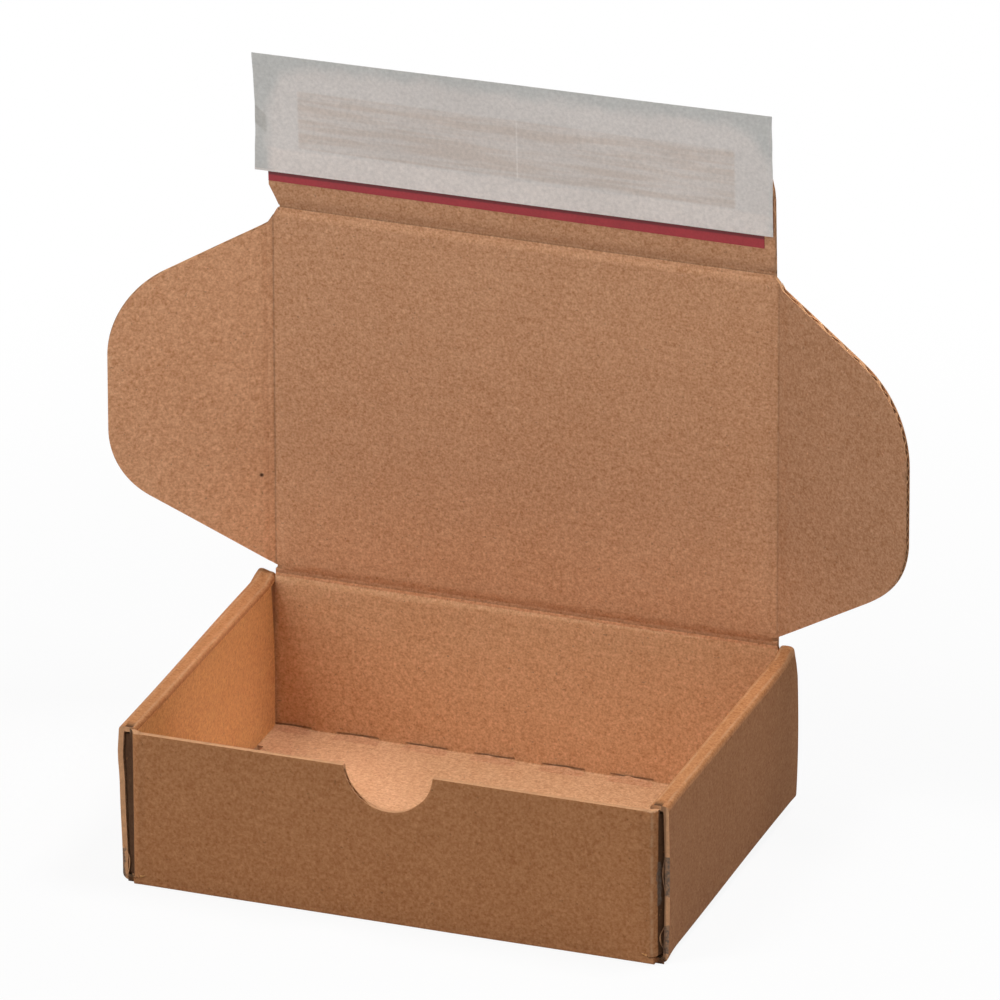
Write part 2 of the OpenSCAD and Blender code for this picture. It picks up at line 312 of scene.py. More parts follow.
def make_world():
    """An even pale surround that the camera sees as white."""
    world = bpy.data.worlds.new("studio")
    bpy.context.scene.world = world
    world.use_nodes = True
    s = Nodes(world.node_tree)
    background = s.tree.nodes["Background"]
    background.inputs["Color"].default_value = (1, 1, 1, 1)
    strength = s.math("MULTIPLY_ADD", s.seen_rays(), 1 - WORLD_STRENGTH, WORLD_STRENGTH)
    s.set(background.inputs["Strength"], strength)


def make_floor():
    """A pale floor that keeps a light shadow of the object and turns white away from it."""
    mesh = bpy.data.meshes.new("floor")
    bm = bmesh.new()
    bmesh.ops.create_circle(bm, cap_ends=True, segments=96, radius=FLOOR_RADIUS)
    bm.to_mesh(mesh)
    bm.free()
    floor = add_object("floor", mesh)
    floor.location.z = -0.1 * MM
    material = bpy.data.materials.new("floor")
    material.use_nodes = True
    s = Nodes(material.node_tree)
    s.tree.nodes.clear()
    diffuse = s.new("ShaderNodeBsdfDiffuse")
    diffuse.inputs["Color"].default_value = (FLOOR_COLOUR, FLOOR_COLOUR, FLOOR_COLOUR, 1)
    away = s.vector("LENGTH", s.place(), output="Value")
    glow = s.range(away, GLOW_FROM, GLOW_FULL, FLOOR_GLOW, 1)
    # No glow under the box, where the slots in its floor look down
    x, y, z = s.axes(s.vector("ABSOLUTE", s.place()))
    beside = s.math("GREATER_THAN", x, INNER_IN)
    beyond = s.math("GREATER_THAN", y, BACK_Y - 6 * MM)
    glow = s.times(glow, s.math("MAXIMUM", beside, beyond), s.seen_rays())
    mix = s.new("ShaderNodeMixShader")
    s.set(mix.inputs["Fac"], glow)
    s.set(mix.inputs[1], diffuse.outputs[0])
    s.set(mix.inputs[2], s.new("ShaderNodeEmission").outputs[0])
    s.set(s.new("ShaderNodeOutputMaterial").inputs["Surface"], mix.outputs[0])
    mesh.materials.append(material)


class Paper(Nodes):
    """A material for board, paper or film, with short calls for its patterns."""

    def __init__(self, name, roughness, shine=0.5):
        self.material = bpy.data.materials.new(name)
        self.material.use_nodes = True
        super().__init__(self.material.node_tree)
        self.surface = self.tree.nodes["Principled BSDF"]
        self.surface.inputs["Roughness"].default_value = roughness
        self.surface.inputs["Specular IOR Level"].default_value = shine

    def noise(self, size, detail=2.0, roughness=0.5, stretch=None):
        """Noise of a mean 0.5 with features of about the given size in metres."""
        node = self.new("ShaderNodeTexNoise")
        place = self.place()
        if stretch:
            place = self.vector("MULTIPLY", place, stretch)
        self.set(node.inputs["Vector"], place)
        node.inputs["Scale"].default_value = 1 / size
        node.inputs["Detail"].default_value = detail
        node.inputs["Roughness"].default_value = roughness
        return node.outputs["Fac"]

    def around(self, middle, value, reach):
        """A value between 0 and 1, turned into one with the given middle and reach."""
        return self.math("MULTIPLY_ADD", value, reach, middle - reach / 2)

    def mix(self, share, a, b):
        """Colour a where share is 0 and b where it is 1."""
        node = self.new("ShaderNodeMix", data_type="RGBA")
        self.set(node.inputs["Factor"], share)
        for socket, value in ((node.inputs["A"], a), (node.inputs["B"], b)):
            self.set(socket, value if isinstance(value, bpy.types.NodeSocket) else (*value, 1))
        return node.outputs["Result"]

    def shade(self, colour, amount):
        """A colour times a grey amount."""
        node = self.new("ShaderNodeVectorMath", operation="SCALE")
        self.set(node.inputs[0], colour)
        self.set(node.inputs["Scale"], amount)
        return node.outputs[0]

    def band(self, value, low, high, soft):
        """1 between low and high, fading to 0 over soft."""
        rise = self.range(value, low - soft / 2, low + soft / 2)
        return self.times(rise, self.fall(value, high - soft / 2, high + soft / 2))

    def region(self, low, high, soft, wobble):
        """1 inside a box in the object's coordinates, with an edge that wobbles."""
        mask = 1.0
        for value, start, end in zip(self.axes(), low, high):
            mask = self.times(mask, self.band(self.math("ADD", value, wobble), start, end, soft))
        return mask

    def attribute(self, name):
        return self.new("ShaderNodeAttribute", attribute_name=name).outputs["Fac"]

    def colour(self, value):
        self.set(self.surface.inputs["Base Color"], value)

    def bump(self, height, distance, strength):
        node = self.new("ShaderNodeBump")
        self.set(node.inputs["Height"], height)
        node.inputs["Distance"].default_value = distance
        node.inputs["Strength"].default_value = strength
        self.set(self.surface.inputs["Normal"], node.outputs["Normal"])


def board_face(name, paper, spots=(), details=None):
    """Kraft facing paper: soft blotches, fibre grain, sparse flecks and the faint ribs of the flutes."""
    s = Paper(name, 0.82, 0.2)
    rib = s.math("SINE", s.times(s.attribute("across"), 2 * math.pi / PITCH))
    grain = s.times(rib, RIB_WEIGHT)
    layers = {}
    for layer, (size, detail, roughness, stretch, weight) in GRAIN_LAYERS.items():
        layers[layer] = s.noise(size, detail, roughness, (stretch, 1.0, 1.0))
        grain = s.math("ADD", grain, s.around(0, layers[layer], weight))
    dark_fibre = tuple(c * (1 - k) for c, k in zip(paper, GRAIN))
    light_fibre = tuple(c * (1 + k) for c, k in zip(paper, GRAIN))
    colour = s.mix(s.math("ADD", grain, 0.5, clamp=True), dark_fibre, light_fibre)
    # Painted light and shade of each panel and crease, from the points' attribute
    colour = s.shade(colour, s.attribute("painted_light_tone"))
    dark_fleck = s.range(s.noise(0.9 * MM, 1.0), 0.70, 0.78)
    colour = s.mix(s.times(dark_fleck, 0.5), colour, tuple(c * 0.4 for c in paper))
    light_fleck = s.range(s.noise(1.0 * MM, 1.0, 0.5, (1.0, 1.3, 1.1)), 0.73, 0.8)
    colour = s.mix(s.times(light_fleck, 0.4), colour, tuple(min(1, c * 1.55) for c in paper))
    for spot, radius in spots:
        away = s.vector("DISTANCE", s.place(), spot, "Value")
        colour = s.mix(s.fall(away, radius * 0.6, radius * 1.2), colour, STAIN)
    if details:
        colour = details(s, colour)
    s.colour(colour)
    relief = s.math("ADD", s.times(layers["mottle"], 0.8), layers["blotch"])
    s.bump(s.math("MULTIPLY_ADD", rib, 0.3, relief), 0.04 * MM, 0.6)
    return s.material


def outer_details(s, colour):
    """Light scored lines on the rolled top strips, partly wear and partly painted highlight, a painted
    highlight on the front corners, and a split at the right front corner.
    """
    x, y, z = s.axes()
    width = s.math("ABSOLUTE", x)
    on_top = s.range(z, SIDE_H - 1.2 * MM, SIDE_H - 0.4 * MM)
    strip = s.times(on_top, s.range(width, WING_X, INNER_IN))
    patchy = s.range(s.noise(2.5 * MM, stretch=(1.0, 0.4, 1.0)), 0.35, 0.6, 0.25, 1.0)
    # Scored lines along the top strips: partly wear, partly painted highlight
    for line in (INNER_IN + 0.9 * MM, SIDE_OUT - 0.9 * MM):
        score = s.band(width, line - 0.3 * MM, line + 0.3 * MM, 0.4 * MM)
        colour = s.mix(s.times(strip, score, patchy, 0.3), colour, WEAR_AND_HIGHLIGHT)
    # Painted highlight on the rounded front corners
    corner = s.band(width, CORNER_OUT - 1.9 * MM, CORNER_OUT - 1.3 * MM, 0.5 * MM)
    ahead = s.fall(y, FRONT_Y + 1.2 * MM, FRONT_Y + 1.8 * MM)
    colour = s.mix(s.times(corner, ahead, patchy, 0.4), colour, WEAR_AND_HIGHLIGHT)
    wobble = s.around(0, s.noise(3 * MM), 1.6 * MM)
    split = s.region((CORNER_OUT - 1.3 * MM, FRONT_Y + 1.5 * MM, 16 * MM),
                     (CORNER_OUT + 1 * MM, FRONT_Y + 2.6 * MM, 28 * MM), 0.3 * MM, wobble)
    rough = s.range(s.noise(0.7 * MM, roughness=0.6), 0.35, 0.65, 0.5, 1.0)
    return s.mix(s.times(split, rough), colour, TORN_CORE)


def floor_details(s, colour):
    """Painted shade in the slits of the cut crease between floor and back wall."""
    x, y, z = s.axes()
    turn = s.math("FRACT", s.math("MULTIPLY_ADD", x, 1 / CUT_PITCH, CUT_SHIFT / CUT_PITCH + 10.5))
    along = s.times(s.math("ABSOLUTE", s.math("SUBTRACT", turn, 0.5)), CUT_PITCH)
    ragged = s.around(0, s.noise(4 * MM), 1.5 * MM)
    cut = s.fall(s.math("ADD", along, ragged), CUT_LEN / 2 - 0.3 * MM, CUT_LEN / 2 + 0.3 * MM)
    lift = s.math("ADD", z, s.around(0, s.noise(6 * MM), 0.9 * MM))
    low = s.band(lift, BOARD + 0.4 * MM, BOARD + 0.85 * MM, 0.3 * MM)
    behind = s.range(y, BACK_Y - BOARD - 0.9 * MM, BACK_Y - BOARD - 0.6 * MM)
    inside = s.range(z, BOARD * 0.9, BOARD)
    return s.mix(s.times(low, behind, cut, inside, 0.65), colour, SLIT_SHADE)


def cut_edge():
    """The cut through the board in one mottled colour, darker where facing paper has come off; the real cut
    shows two light facing papers with the darker fluted paper between.
    """
    s = Paper("cut_edge", 0.9, 0.2)
    fibre = s.noise(0.3 * MM, 3.0, 0.6)
    mottle = s.noise(1.6 * MM, 3.0, 0.6)
    colour = s.shade(CUT_EDGE, s.math("ADD", s.around(1, fibre, 0.5), s.around(0, mottle, 0.6)))
    wobble = s.around(0, s.noise(2.6 * MM), 2.4 * MM)
    rough = s.range(s.noise(0.6 * MM, roughness=0.6), 0.35, 0.65, 0.55, 1.0)
    for left, right, low, high in TORN_PLACES:
        torn = s.region((left, FRONT_Y + 1 * MM, low), (right, FRONT_Y + 5 * MM, high), 0.35 * MM, wobble)
        colour = s.mix(s.times(torn, rough), colour, TORN_CORE)
    # Painted shade on the inner part of the right side panel's cut face, in the gap beside the front wall's
    # end
    x, y, z = s.axes()
    beside = s.range(x, CORNER_OUT, CORNER_OUT + 0.1 * MM)
    within = s.fall(x, SIDE_OUT - 0.6 * MM, SIDE_OUT - 0.1 * MM)
    ahead = s.fall(y, FRONT_Y + 4 * MM, FRONT_Y + 5 * MM)
    s.colour(s.mix(s.times(beside, within, ahead, 0.6), colour, SLIT_SHADE))
    s.bump(fibre, 0.05 * MM, 0.7)
    return s.material


def film(name, colour):
    """Thin satin film with faint blotches, in the shade of the liner at its upper edge."""
    s = Paper(name, 0.5)
    x, y, z = s.axes()
    up_flap = s.math("SUBTRACT", z, FLAP_Z + LINER_SLIP / 2)
    height = s.math("MULTIPLY_ADD", x, -LINER_SLIP / LINER_WIDE, up_flap)
    blotch = s.around(1, s.noise(0.8 * MM, 3.0, 0.6), 0.5)
    cloud = s.around(1, s.noise(9 * MM), 0.3)
    shadow = s.range(height, LINER_START - 1.5 * MM, LINER_START - 0.8 * MM, 1.0, 0.4)
    s.colour(s.shade(colour, s.times(blotch, cloud, shadow)))
    return s.material


def liner_paper():
    """Satin release paper: painted lighter and pinker where light comes back through it from the board
    behind, greyer where no board lies behind it, streaked over the adhesive, with a painted highlight on its
    lower edge and the painted shade of a fold at its lower left corner.
    """
    s = Paper("release_paper", 0.42, 0.35)
    x, y, z = s.axes()
    height = s.math("SUBTRACT", z, FLAP_Z)
    # How far a point lies out from the centre of the flap's rounded corner
    half_wide = (FLAP_RIGHT - FLAP_LEFT) / 2
    from_middle = s.math("ABSOLUTE", s.math("SUBTRACT", x, (FLAP_RIGHT + FLAP_LEFT) / 2))
    out = s.math("MAXIMUM", s.math("SUBTRACT", from_middle, half_wide - FLAP_CORNER), 0.0)
    up = s.math("MAXIMUM", s.math("SUBTRACT", height, FLAP_LEN - FLAP_CORNER), 0.0)
    reach = s.math("SQRT", s.math("ADD", s.times(out, out), s.times(up, up)))
    # Painted lighter where light comes back through the liner from the board behind, greyer where no board
    # lies behind
    cloud = s.around(0, s.noise(7 * MM), 5 * MM)
    bare = s.range(s.math("ADD", reach, cloud), FLAP_CORNER - 2.6 * MM, FLAP_CORNER + 1.6 * MM)
    colour = s.mix(bare, LINER, LINER_BARE)
    low = s.fall(s.math("MULTIPLY_ADD", s.noise(9 * MM), 1.5 * MM, height), 17.0 * MM, 18.2 * MM)
    colour = s.mix(s.times(low, s.math("SUBTRACT", 1.0, bare)), colour, LINER_LOW)
    pad = s.times(s.band(x, PAD_LEFT, PAD_RIGHT, 0.8 * MM), s.band(height, PAD_LOW, PAD_HIGH, 0.9 * MM))
    streak = s.noise(1.3 * MM, stretch=(0.05, 1.0, 1.0))
    colour = s.mix(s.times(pad, s.range(streak, 0.35, 0.65, 0.35, 1.0)), colour, LINER_GLUED)
    # Painted shade of a fold across the lower left corner
    slant = s.math("ADD", height, s.times(x, 0.8))
    fold = s.band(slant, -34.5 * MM, -29.5 * MM, 0.8 * MM)
    corner = s.fall(x, FLAP_LEFT - 0.4 * MM, FLAP_LEFT + 0.6 * MM)
    colour = s.mix(s.times(corner, fold, 0.5), colour, LINER_FOLD_SHADE)
    seam = s.band(x, -1.5 * MM, -1.1 * MM, 0.3 * MM)
    colour = s.mix(s.times(seam, pad, 0.35), colour, LINER_SEAM)
    # Painted highlight along the lower edge
    edge = s.fall(height, 10.4 * MM, 10.8 * MM)
    colour = s.mix(s.times(edge, 0.6), colour, LINER_EDGE_HIGHLIGHT)
    grain = s.around(1, s.noise(0.9 * MM, 3.0, 0.6), 0.5)
    wide_grain = s.around(1, s.noise(14 * MM, stretch=(0.5, 1.0, 1.0)), 0.2)
    s.colour(s.shade(colour, s.times(grain, wide_grain)))
    s.bump(s.noise(2.2 * MM, 3.0, 0.55, (0.35, 1.0, 1.0)), 0.05 * MM, 0.5)
    return s.material


def smooth(value, low, high):
    """0 below low, 1 above high, and a soft rise between."""
    t = min(max((value - low) / (high - low), 0), 1)
    return t * t * (3 - 2 * t)


def ridge(distance, width):
    """1 on a line, fading to 0 beside it."""
    return math.exp(-(distance / width) ** 2)


def sharpen(u, v):
    """Pushes a point of a round fold out to a tighter one; u and v run from the fold's centre."""
    length = math.hypot(u, v)
    if u <= 0 or v <= 0 or length > FOLD_R * 1.02:
        return u, v
    scale = ((u / length) ** 4 + (v / length) ** 4) ** -0.25
    return u * scale, v * scale


def tighten(q):
    """The real folds are tighter than quarter circles: they lie flat up to a scored line."""
    side = math.copysign(1, q.x)
    x = abs(q.x)
    r = FOLD_R
    if SIDE_H - r < q.z < SIDE_H + TOUCH and x > SIDE_OUT - r:
        u, v = sharpen(x - (SIDE_OUT - r), q.z - (SIDE_H - r))
        return Vector((side * (SIDE_OUT - r + u), q.y, SIDE_H - r + v))
    if SIDE_H - r < q.z < SIDE_H + TOUCH and INNER_IN - TOUCH < x < INNER_IN + r:
        u, v = sharpen(INNER_IN + r - x, q.z - (SIDE_H - r))
        return Vector((side * (INNER_IN + r - u), q.y, SIDE_H - r + v))
    if q.y < FRONT_Y + r and q.z < r:
        u, v = sharpen(FRONT_Y + r - q.y, r - q.z)
        return Vector((q.x, FRONT_Y + r - u, r - v))
    if q.y > BACK_Y - r and q.z < r:
        u, v = sharpen(q.y - (BACK_Y - r), r - q.z)
        return Vector((q.x, BACK_Y - r + u, r - v))
    return q


def small_waves(p):
    """Small waves of the board, none at the creases and in the narrow gap beside the folded wings."""
    free = smooth(abs(p.z - HINGE_Z), 1 * MM, 9 * MM) * smooth(abs(p.z - FLAP_Z), 1 * MM, 9 * MM)
    if p.z > HINGE_Z or abs(p.x) > INNER_IN - TOUCH:
        free *= smooth(abs(abs(p.x) - WING_X), 1 * MM, 9 * MM)
    return noise.noise_vector(p / (34 * MM)) * 0.1 * MM * free


def left_wall_shift(p, height, outer):
    """The left wall leans out to the rear, and its front end is pushed in below and bulges above."""
    rear = smooth(p.y, -40 * MM, 45 * MM)
    ahead = 1 - smooth(p.y, -47 * MM, -34 * MM)
    pushed_in = 0.5 * (1 - smooth(height, 0.1, 0.6)) + 0.1
    bulge = 0.45 * ridge(height - 0.82, 0.12)
    lean = 0.5 * rear * height ** 2
    bow = 0.25 * math.sin(math.pi * height) ** 0.8 * (1 - ahead)
    inward = ((pushed_in - bulge) * ahead - lean - bow) * outer
    raised = 0.9 * rear * (0.35 + 0.65 * outer) * height ** 2
    return Vector((inward, 0, raised)) * MM


def right_wall_shift(p, height, outer):
    """The right wall bows out, its front end stands out and its top comes in at the rear."""
    rear = smooth(p.y, -40 * MM, 45 * MM)
    bow = 0.5 * math.sin(math.pi * height) ** 0.8
    front_end = 0.25 * (1 - smooth(p.y, -46 * MM, -40 * MM))
    lean = 0.7 * smooth(height, 0.85, 1) * smooth(p.y, 25 * MM, 50 * MM)
    raised = (0.5 + 0.3 * rear) * height ** 2
    return Vector(((bow + front_end - lean) * outer, 0, raised)) * MM


def front_wall_shift(p):
    """The front wall's ends stand in from the side panels, and its lower fold runs on to its corners."""
    x = abs(p.x)
    ahead = 1 - smooth(p.y, FRONT_Y + 1.8 * MM, FRONT_Y + 3.2 * MM)
    foot = 1 - smooth(p.z, FOLD_R, FOLD_R + 0.3 * MM)
    fold_end = 1.7 * smooth(x, CORNER_OUT - 12 * MM, CORNER_OUT - 2.4 * MM) * foot
    stands_in = smooth(x, 50 * MM, CORNER_OUT) * ahead
    if p.x < 0:
        return Vector((2.2 * stands_in - fold_end, 0, 0)) * MM
    return Vector((fold_end - 0.4 * stands_in, 0, 0)) * MM


def lower_edge_lift(p, height):
    """The lower right edge stands a little off the ground, more so to the rear."""
    ahead = smooth(p.y, FRONT_Y + 1.8 * MM, FRONT_Y + 6 * MM)
    raised = 0.7 + 1.5 * smooth(p.y, -48 * MM, 45 * MM)
    # The floor rises less where the folded wing comes down beside it
    floor = min(raised, 0.35 + 2 * smooth(p.y, 14 * MM, 34 * MM))
    lift = floor * smooth(p.x, 38 * MM, INNER_IN)
    lift += (raised - floor) * smooth(p.x, INNER_IN, SIDE_OUT - 0.5 * MM)
    return Vector((0, 0, lift * ahead * (1 - height) ** 2)) * MM


def outline_shift(p):
    """The wings' outlines and the closure flap's right edge aren't quite even."""
    x = abs(p.x)
    if p.x < 0:
        lower = 1.15 * smooth(p.z, 85 * MM, 125 * MM) * smooth(x, WING_X - 2 * MM, WING_X + 2 * MM)
        return Vector((0, 0, -lower)) * MM
    higher = 0.8 * smooth(x, 96 * MM, 105 * MM) * (1 - smooth(p.z, 62 * MM, 80 * MM))
    narrower = 0
    if p.z > FLAP_Z + 1.5 * MM:
        narrower = 1.3 * smooth(p.z - FLAP_Z, 21 * MM, 30 * MM) * smooth(x, 45 * MM, 65 * MM)
    return Vector((-narrower, 0, higher)) * MM


def settle(p):
    """Where a point of the ideal box lies on the real one, whose panels aren't quite even."""
    x = abs(p.x)
    height = min(max(p.z / SIDE_H, 0), 1)
    in_tray = p.z < SIDE_H + TOUCH
    q = tighten(p.copy()) if in_tray else p.copy()
    q += small_waves(p)
    if in_tray and x > INNER_IN - TOUCH and p.y > FRONT_Y + 2.4 * MM:
        outer = smooth(x, INNER_OUT, SIDE_OUT - BOARD)
        wall_shift = left_wall_shift if p.x < 0 else right_wall_shift
        q += wall_shift(p, height, outer)
        q.z += 1.5 * MM * smooth(p.y, 44 * MM, 50 * MM) * height ** 6
    elif p.y < FRONT_Y + 3.2 * MM and p.z < FRONT_H + TOUCH:
        q += front_wall_shift(p)
    if p.x > 0 and p.z < SIDE_H:
        q += lower_edge_lift(p, height)
    if p.z > HINGE_Z:
        q += outline_shift(p)
    # The inner side panels' rear edges wander
    if INNER_IN - TOUCH < x < INNER_OUT + TOUCH and p.y > 30 * MM and p.z < SIDE_H - FOLD_R:
        wander = noise.noise(Vector((p.x, 0, p.z)) / (9 * MM))
        q.y += 0.35 * MM * wander * smooth(p.y, 30 * MM, 48 * MM)
    q.x = min(max(q.x, -WING_TIP), WING_TIP)
    q.y = min(max(q.y, FRONT_Y), BACK_Y)
    q.z = max(q.z, 0)
    return q


def tray_painted_light_tone(p):
    """Painted light and shade on the tray's paper, panel by panel."""
    x = abs(p.x)
    value = 1.0
    if x > INNER_IN - 0.1 * MM and p.z > SIDE_H - 1.5 * MM:
        value = STRIP_PAINTED_LIGHT
    elif x < INNER_IN + 0.3 * MM and p.z > BOARD * 1.1 and p.y > FRONT_Y + 2 * BOARD:
        value = 1.0 if x > WING_X + 0.1 * MM else BACK_PAINTED_LIGHT
    elif p.x > SIDE_OUT - 1 * MM:
        value = SIDE_PAINTED_SHADE
    elif p.z < BOARD * 1.1:
        value = FLOOR_PAINTED_LIGHT
    # Painted shade in the gap beside the front wall's ends
    turned = (0.9 if p.x < 0 else 1.75) * MM
    if CORNER_OUT - 2 * MM < x < CORNER_OUT + 0.05 * MM and FRONT_Y + turned < p.y < FRONT_Y + 4 * MM:
        value *= GAP_PAINTED_SHADE
    # Painted highlight along the top of the tray, below the lid's crease
    return value * (1 + 0.06 * ridge(HINGE_Z - p.z, 2.5 * MM))


def painted_light_tone(p):
    """Painted light and shade on the paper at a point of the ideal box: shade along the scored creases, a
    highlight on the lid's top edge and panels painted lighter or darker.
    """
    if p.z < HINGE_Z:
        return tray_painted_light_tone(p)
    # Painted shade along the closure flap's crease and on its lower part
    if p.z >= FLAP_Z:
        above = p.z - FLAP_Z
        return 1 - 0.3 * ridge(above, 0.45 * MM) - 0.12 * ridge(above, 5 * MM)
    above = p.z - HINGE_Z
    # The lid painted lighter towards its bottom, for light bounced from inside the box
    value = 1 + 0.15 * (1 - smooth(above, 5 * MM, 40 * MM))
    # Painted shade just above the lid's crease
    value *= 1 - 0.2 * ridge(above, 0.5 * MM) - 0.08 * ridge(above, 4 * MM)
    # Painted highlight on the lid's top edge, below the closure flap's crease
    value *= 1 + 0.12 * ridge(FLAP_Z - p.z, 1.6 * MM)
    # The left wing painted lighter and the right one darker, for how the light falls on them
    if abs(p.x) > WING_X:
        value *= LEFT_WING_PAINTED_LIGHT if p.x < 0 else RIGHT_WING_PAINTED_SHADE
    return value


def dress(mesh, materials, across, light):
    """Gives a mesh its materials, and its points their distances across the flutes and their painted light
    and shade.
    """
    for material in materials:
        mesh.materials.append(material)
    for name, values in (("across", across), ("painted_light_tone", light)):
        mesh.attributes.new(name, "FLOAT", "POINT").data.foreach_set("value", values)


def dense_copy(node, name):
    """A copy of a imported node's mesh with its corners joined, cut up by planes on all three axes."""
    bm = bmesh.new()
    bm.from_mesh(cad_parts[node].data)
    bmesh.ops.remove_doubles(bm, verts=bm.verts, dist=0.002 * MM)
    low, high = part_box(node)
    for axis in range(3):
        count = math.ceil((high[axis] - low[axis]) / DIVISION)
        normal = Vector([float(k == axis) for k in range(3)])
        for i in range(1, count):
            place = Vector((0, 0, 0))
            place[axis] = low[axis] + (high[axis] - low[axis]) * i / count
            bmesh.ops.bisect_plane(bm, geom=bm.verts[:] + bm.edges[:] + bm.faces[:], dist=0.001 * MM,
                                   plane_co=place, plane_no=normal)
    mesh = bpy.data.meshes.new(name)
    bm.to_mesh(mesh)
    bm.free()
    return add_object(name, mesh)


def make_board(node, materials, kind, across=lambda p: p.z):
    """A panel of the blank with its papers: kind tells a face's paper, across how far a point lies
    across the flutes."""
    piece = dense_copy(node, node + "_board")
    mesh = piece.data
    points = [v.co.copy() for v in mesh.vertices]
    dress(mesh, materials, [across(p) for p in points], [painted_light_tone(p) for p in points])
    mesh.polygons.foreach_set("material_index", [kind(f.center, f.normal) for f in mesh.polygons])
    mesh.polygons.foreach_set("use_smooth", [True] * len(mesh.polygons))
    for v, p in zip(mesh.vertices, points):
        v.co = settle(p)
    mesh.update()
    mesh.set_sharp_from_angle(angle=math.radians(35))
    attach(piece, node)
    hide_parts(node)


def panel_kind(normal_in, middle):
    """Tells the faces of a flat panel; middle is a point midway between its facing papers."""

    def kind(centre, normal):
        facing = normal.dot(normal_in)
        away = abs((centre - middle).dot(normal_in))
        if abs(facing) > 0.98 and abs(away - BOARD / 2) < 2 * TOUCH:
            return INSIDE_FACE if facing > 0 else OUTSIDE_FACE
        return CUT_FACE

    return kind


def side_wall_kind(centre, normal):
    """The rolled side walls show the outer paper inside the box too, painted lighter there for the light
    bounced inside the box.
    """
    x = abs(centre.x)
    out = Vector((math.copysign(1, centre.x), 0, 0))
    if x < INNER_IN + 0.05 * MM:
        return ROLLED_LIT_FACE
    if centre.z > SIDE_H - FOLD_R:
        return OUTSIDE_FACE if normal.z > 0.05 or x > SIDE_OUT - 0.5 * MM else INSIDE_FACE
    if x > SIDE_OUT - 0.7 * MM:
        return OUTSIDE_FACE
    if abs(x - CORNER_OUT) < 0.05 * MM and normal.dot(out) > 0:
        return OUTSIDE_FACE
    if centre.y < FRONT_Y + 2.4 * MM or centre.y > BACK_Y - 2.4 * MM:
        return shell_kind(centre, normal)
    return INSIDE_FACE


def shell_kind(centre, normal):
    """The outer paper on what faces away from the tray's middle, the inner paper on the rest."""
    from_middle = centre - Vector((0, 0, SIDE_H / 2))
    return OUTSIDE_FACE if normal.dot(from_middle) > 0 else INSIDE_FACE


def tray_kind(centre, normal):
    """Tells the faces of the tray."""
    x = abs(centre.x)
    near = 2 * TOUCH
    if abs(normal.y) > 0.9 and x > INNER_IN - near and centre.y > FRONT_Y + near:
        if x > CORNER_OUT + near or centre.y > FRONT_Y + 2 * MM:
            return CUT_FACE
    if normal.z > 0.9 and abs(centre.z - FRONT_H) < near:
        return CUT_FACE
    if x > INNER_IN - near and centre.z > BOARD:
        return side_wall_kind(centre, normal)
    if centre.y < FRONT_Y + BOARD and abs(normal.y) < 0.3 and centre.z > FRONT_H - 12 * MM:
        return CUT_FACE
    return shell_kind(centre, normal)


def tray_across(p):
    """The flutes run up the front and back walls, and across the floor and the side walls."""
    return p.y if abs(p.x) > WING_X or p.z < BOARD * 1.01 else p.z


def make_boards(board, spotted, tray_papers):
    """The five swinging and standing parts of the blank."""
    make_board("tray", tray_papers, tray_kind, tray_across)
    make_board("lid", board, panel_kind(INWARD, Vector((0, HINGE_Y, HINGE_Z))))
    for side, name, papers in ((-1, "wing_left", spotted), (1, "wing_right", board)):
        normal_in = Matrix.Rotation(-side * WING_REST, 3, "Z") @ INWARD
        middle = Vector((side * WING_X, BACK_Y, 0)) + normal_in * BOARD / 2
        make_board(name, papers, panel_kind(normal_in, middle))
    normal_in = Matrix.Rotation(FLAP_REST, 3, "X") @ INWARD
    make_board("closure_flap", board, panel_kind(normal_in, Vector((0, HINGE_Y, FLAP_Z))))


def crease_strip(name, materials, pivot, along, across, span, pivot_depth, widths, turn,
                 score=0.02 * MM, trim=lambda u: (0, 0), line=0.0):
    """The folded stretch of board between two bodies: a bar that fills the crease and bends with it.
    pivot is a point of the hinge line; along runs down it, across from the first body to the second."""
    inner_half, outer_half = widths
    count = max(2, round((span[1] - span[0]) / STRIP_DIVISION))
    turn_axis = across.cross(INWARD)
    sides = ((pivot_depth, inner_half, 1), (pivot_depth - BOARD, outer_half, -1))
    rows = []
    marks = []
    for k in range(count + 1):
        row = []
        for depth, half, order in sides:
            for i in range(STRIP_STEPS + 1)[::order]:
                t = i / STRIP_STEPS
                u = half * (2 * t - 1)
                dent = order * score * ridge(u, 0.4 * MM)
                flat = across * u + INWARD * (depth - dent)
                bent = Matrix.Rotation(turn * smooth(t, 0, 1), 3, turn_axis) @ flat
                first, last = (end + more for end, more in zip(span, trim(u)))
                row.append(pivot + along * (first + (last - first) * k / count) + bent)
                marks.append(1 - line * ridge(u, 0.3 * MM))
        rows.append(row)
    bm = bmesh.new()
    grid = [[bm.verts.new(settle(p)) for p in row] for row in rows]
    size = len(grid[0])
    for a, b in zip(grid, grid[1:]):
        for i in range(size):
            j = (i + 1) % size
            face = bm.faces.new((a[i], a[j], b[j], b[i]))
            on_outside = STRIP_STEPS < i < size - 1
            face.material_index = INSIDE_FACE if i < STRIP_STEPS else OUTSIDE_FACE if on_outside else CUT_FACE
            face.smooth = True
    for ring in (grid[0][::-1], grid[-1]):
        bm.faces.new(ring).material_index = CUT_FACE
    bmesh.ops.recalc_face_normals(bm, faces=bm.faces[:])
    mesh = bpy.data.meshes.new(name)
    bm.to_mesh(mesh)
    bm.free()
    piece = add_object(name, mesh)
    points = [v.co for v in mesh.vertices]
    dress(mesh, materials, [p.z for p in points], [painted_light_tone(p) * mark for p, mark in zip(points, marks)])
    mesh.set_sharp_from_angle(angle=math.radians(50))
    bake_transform(piece)


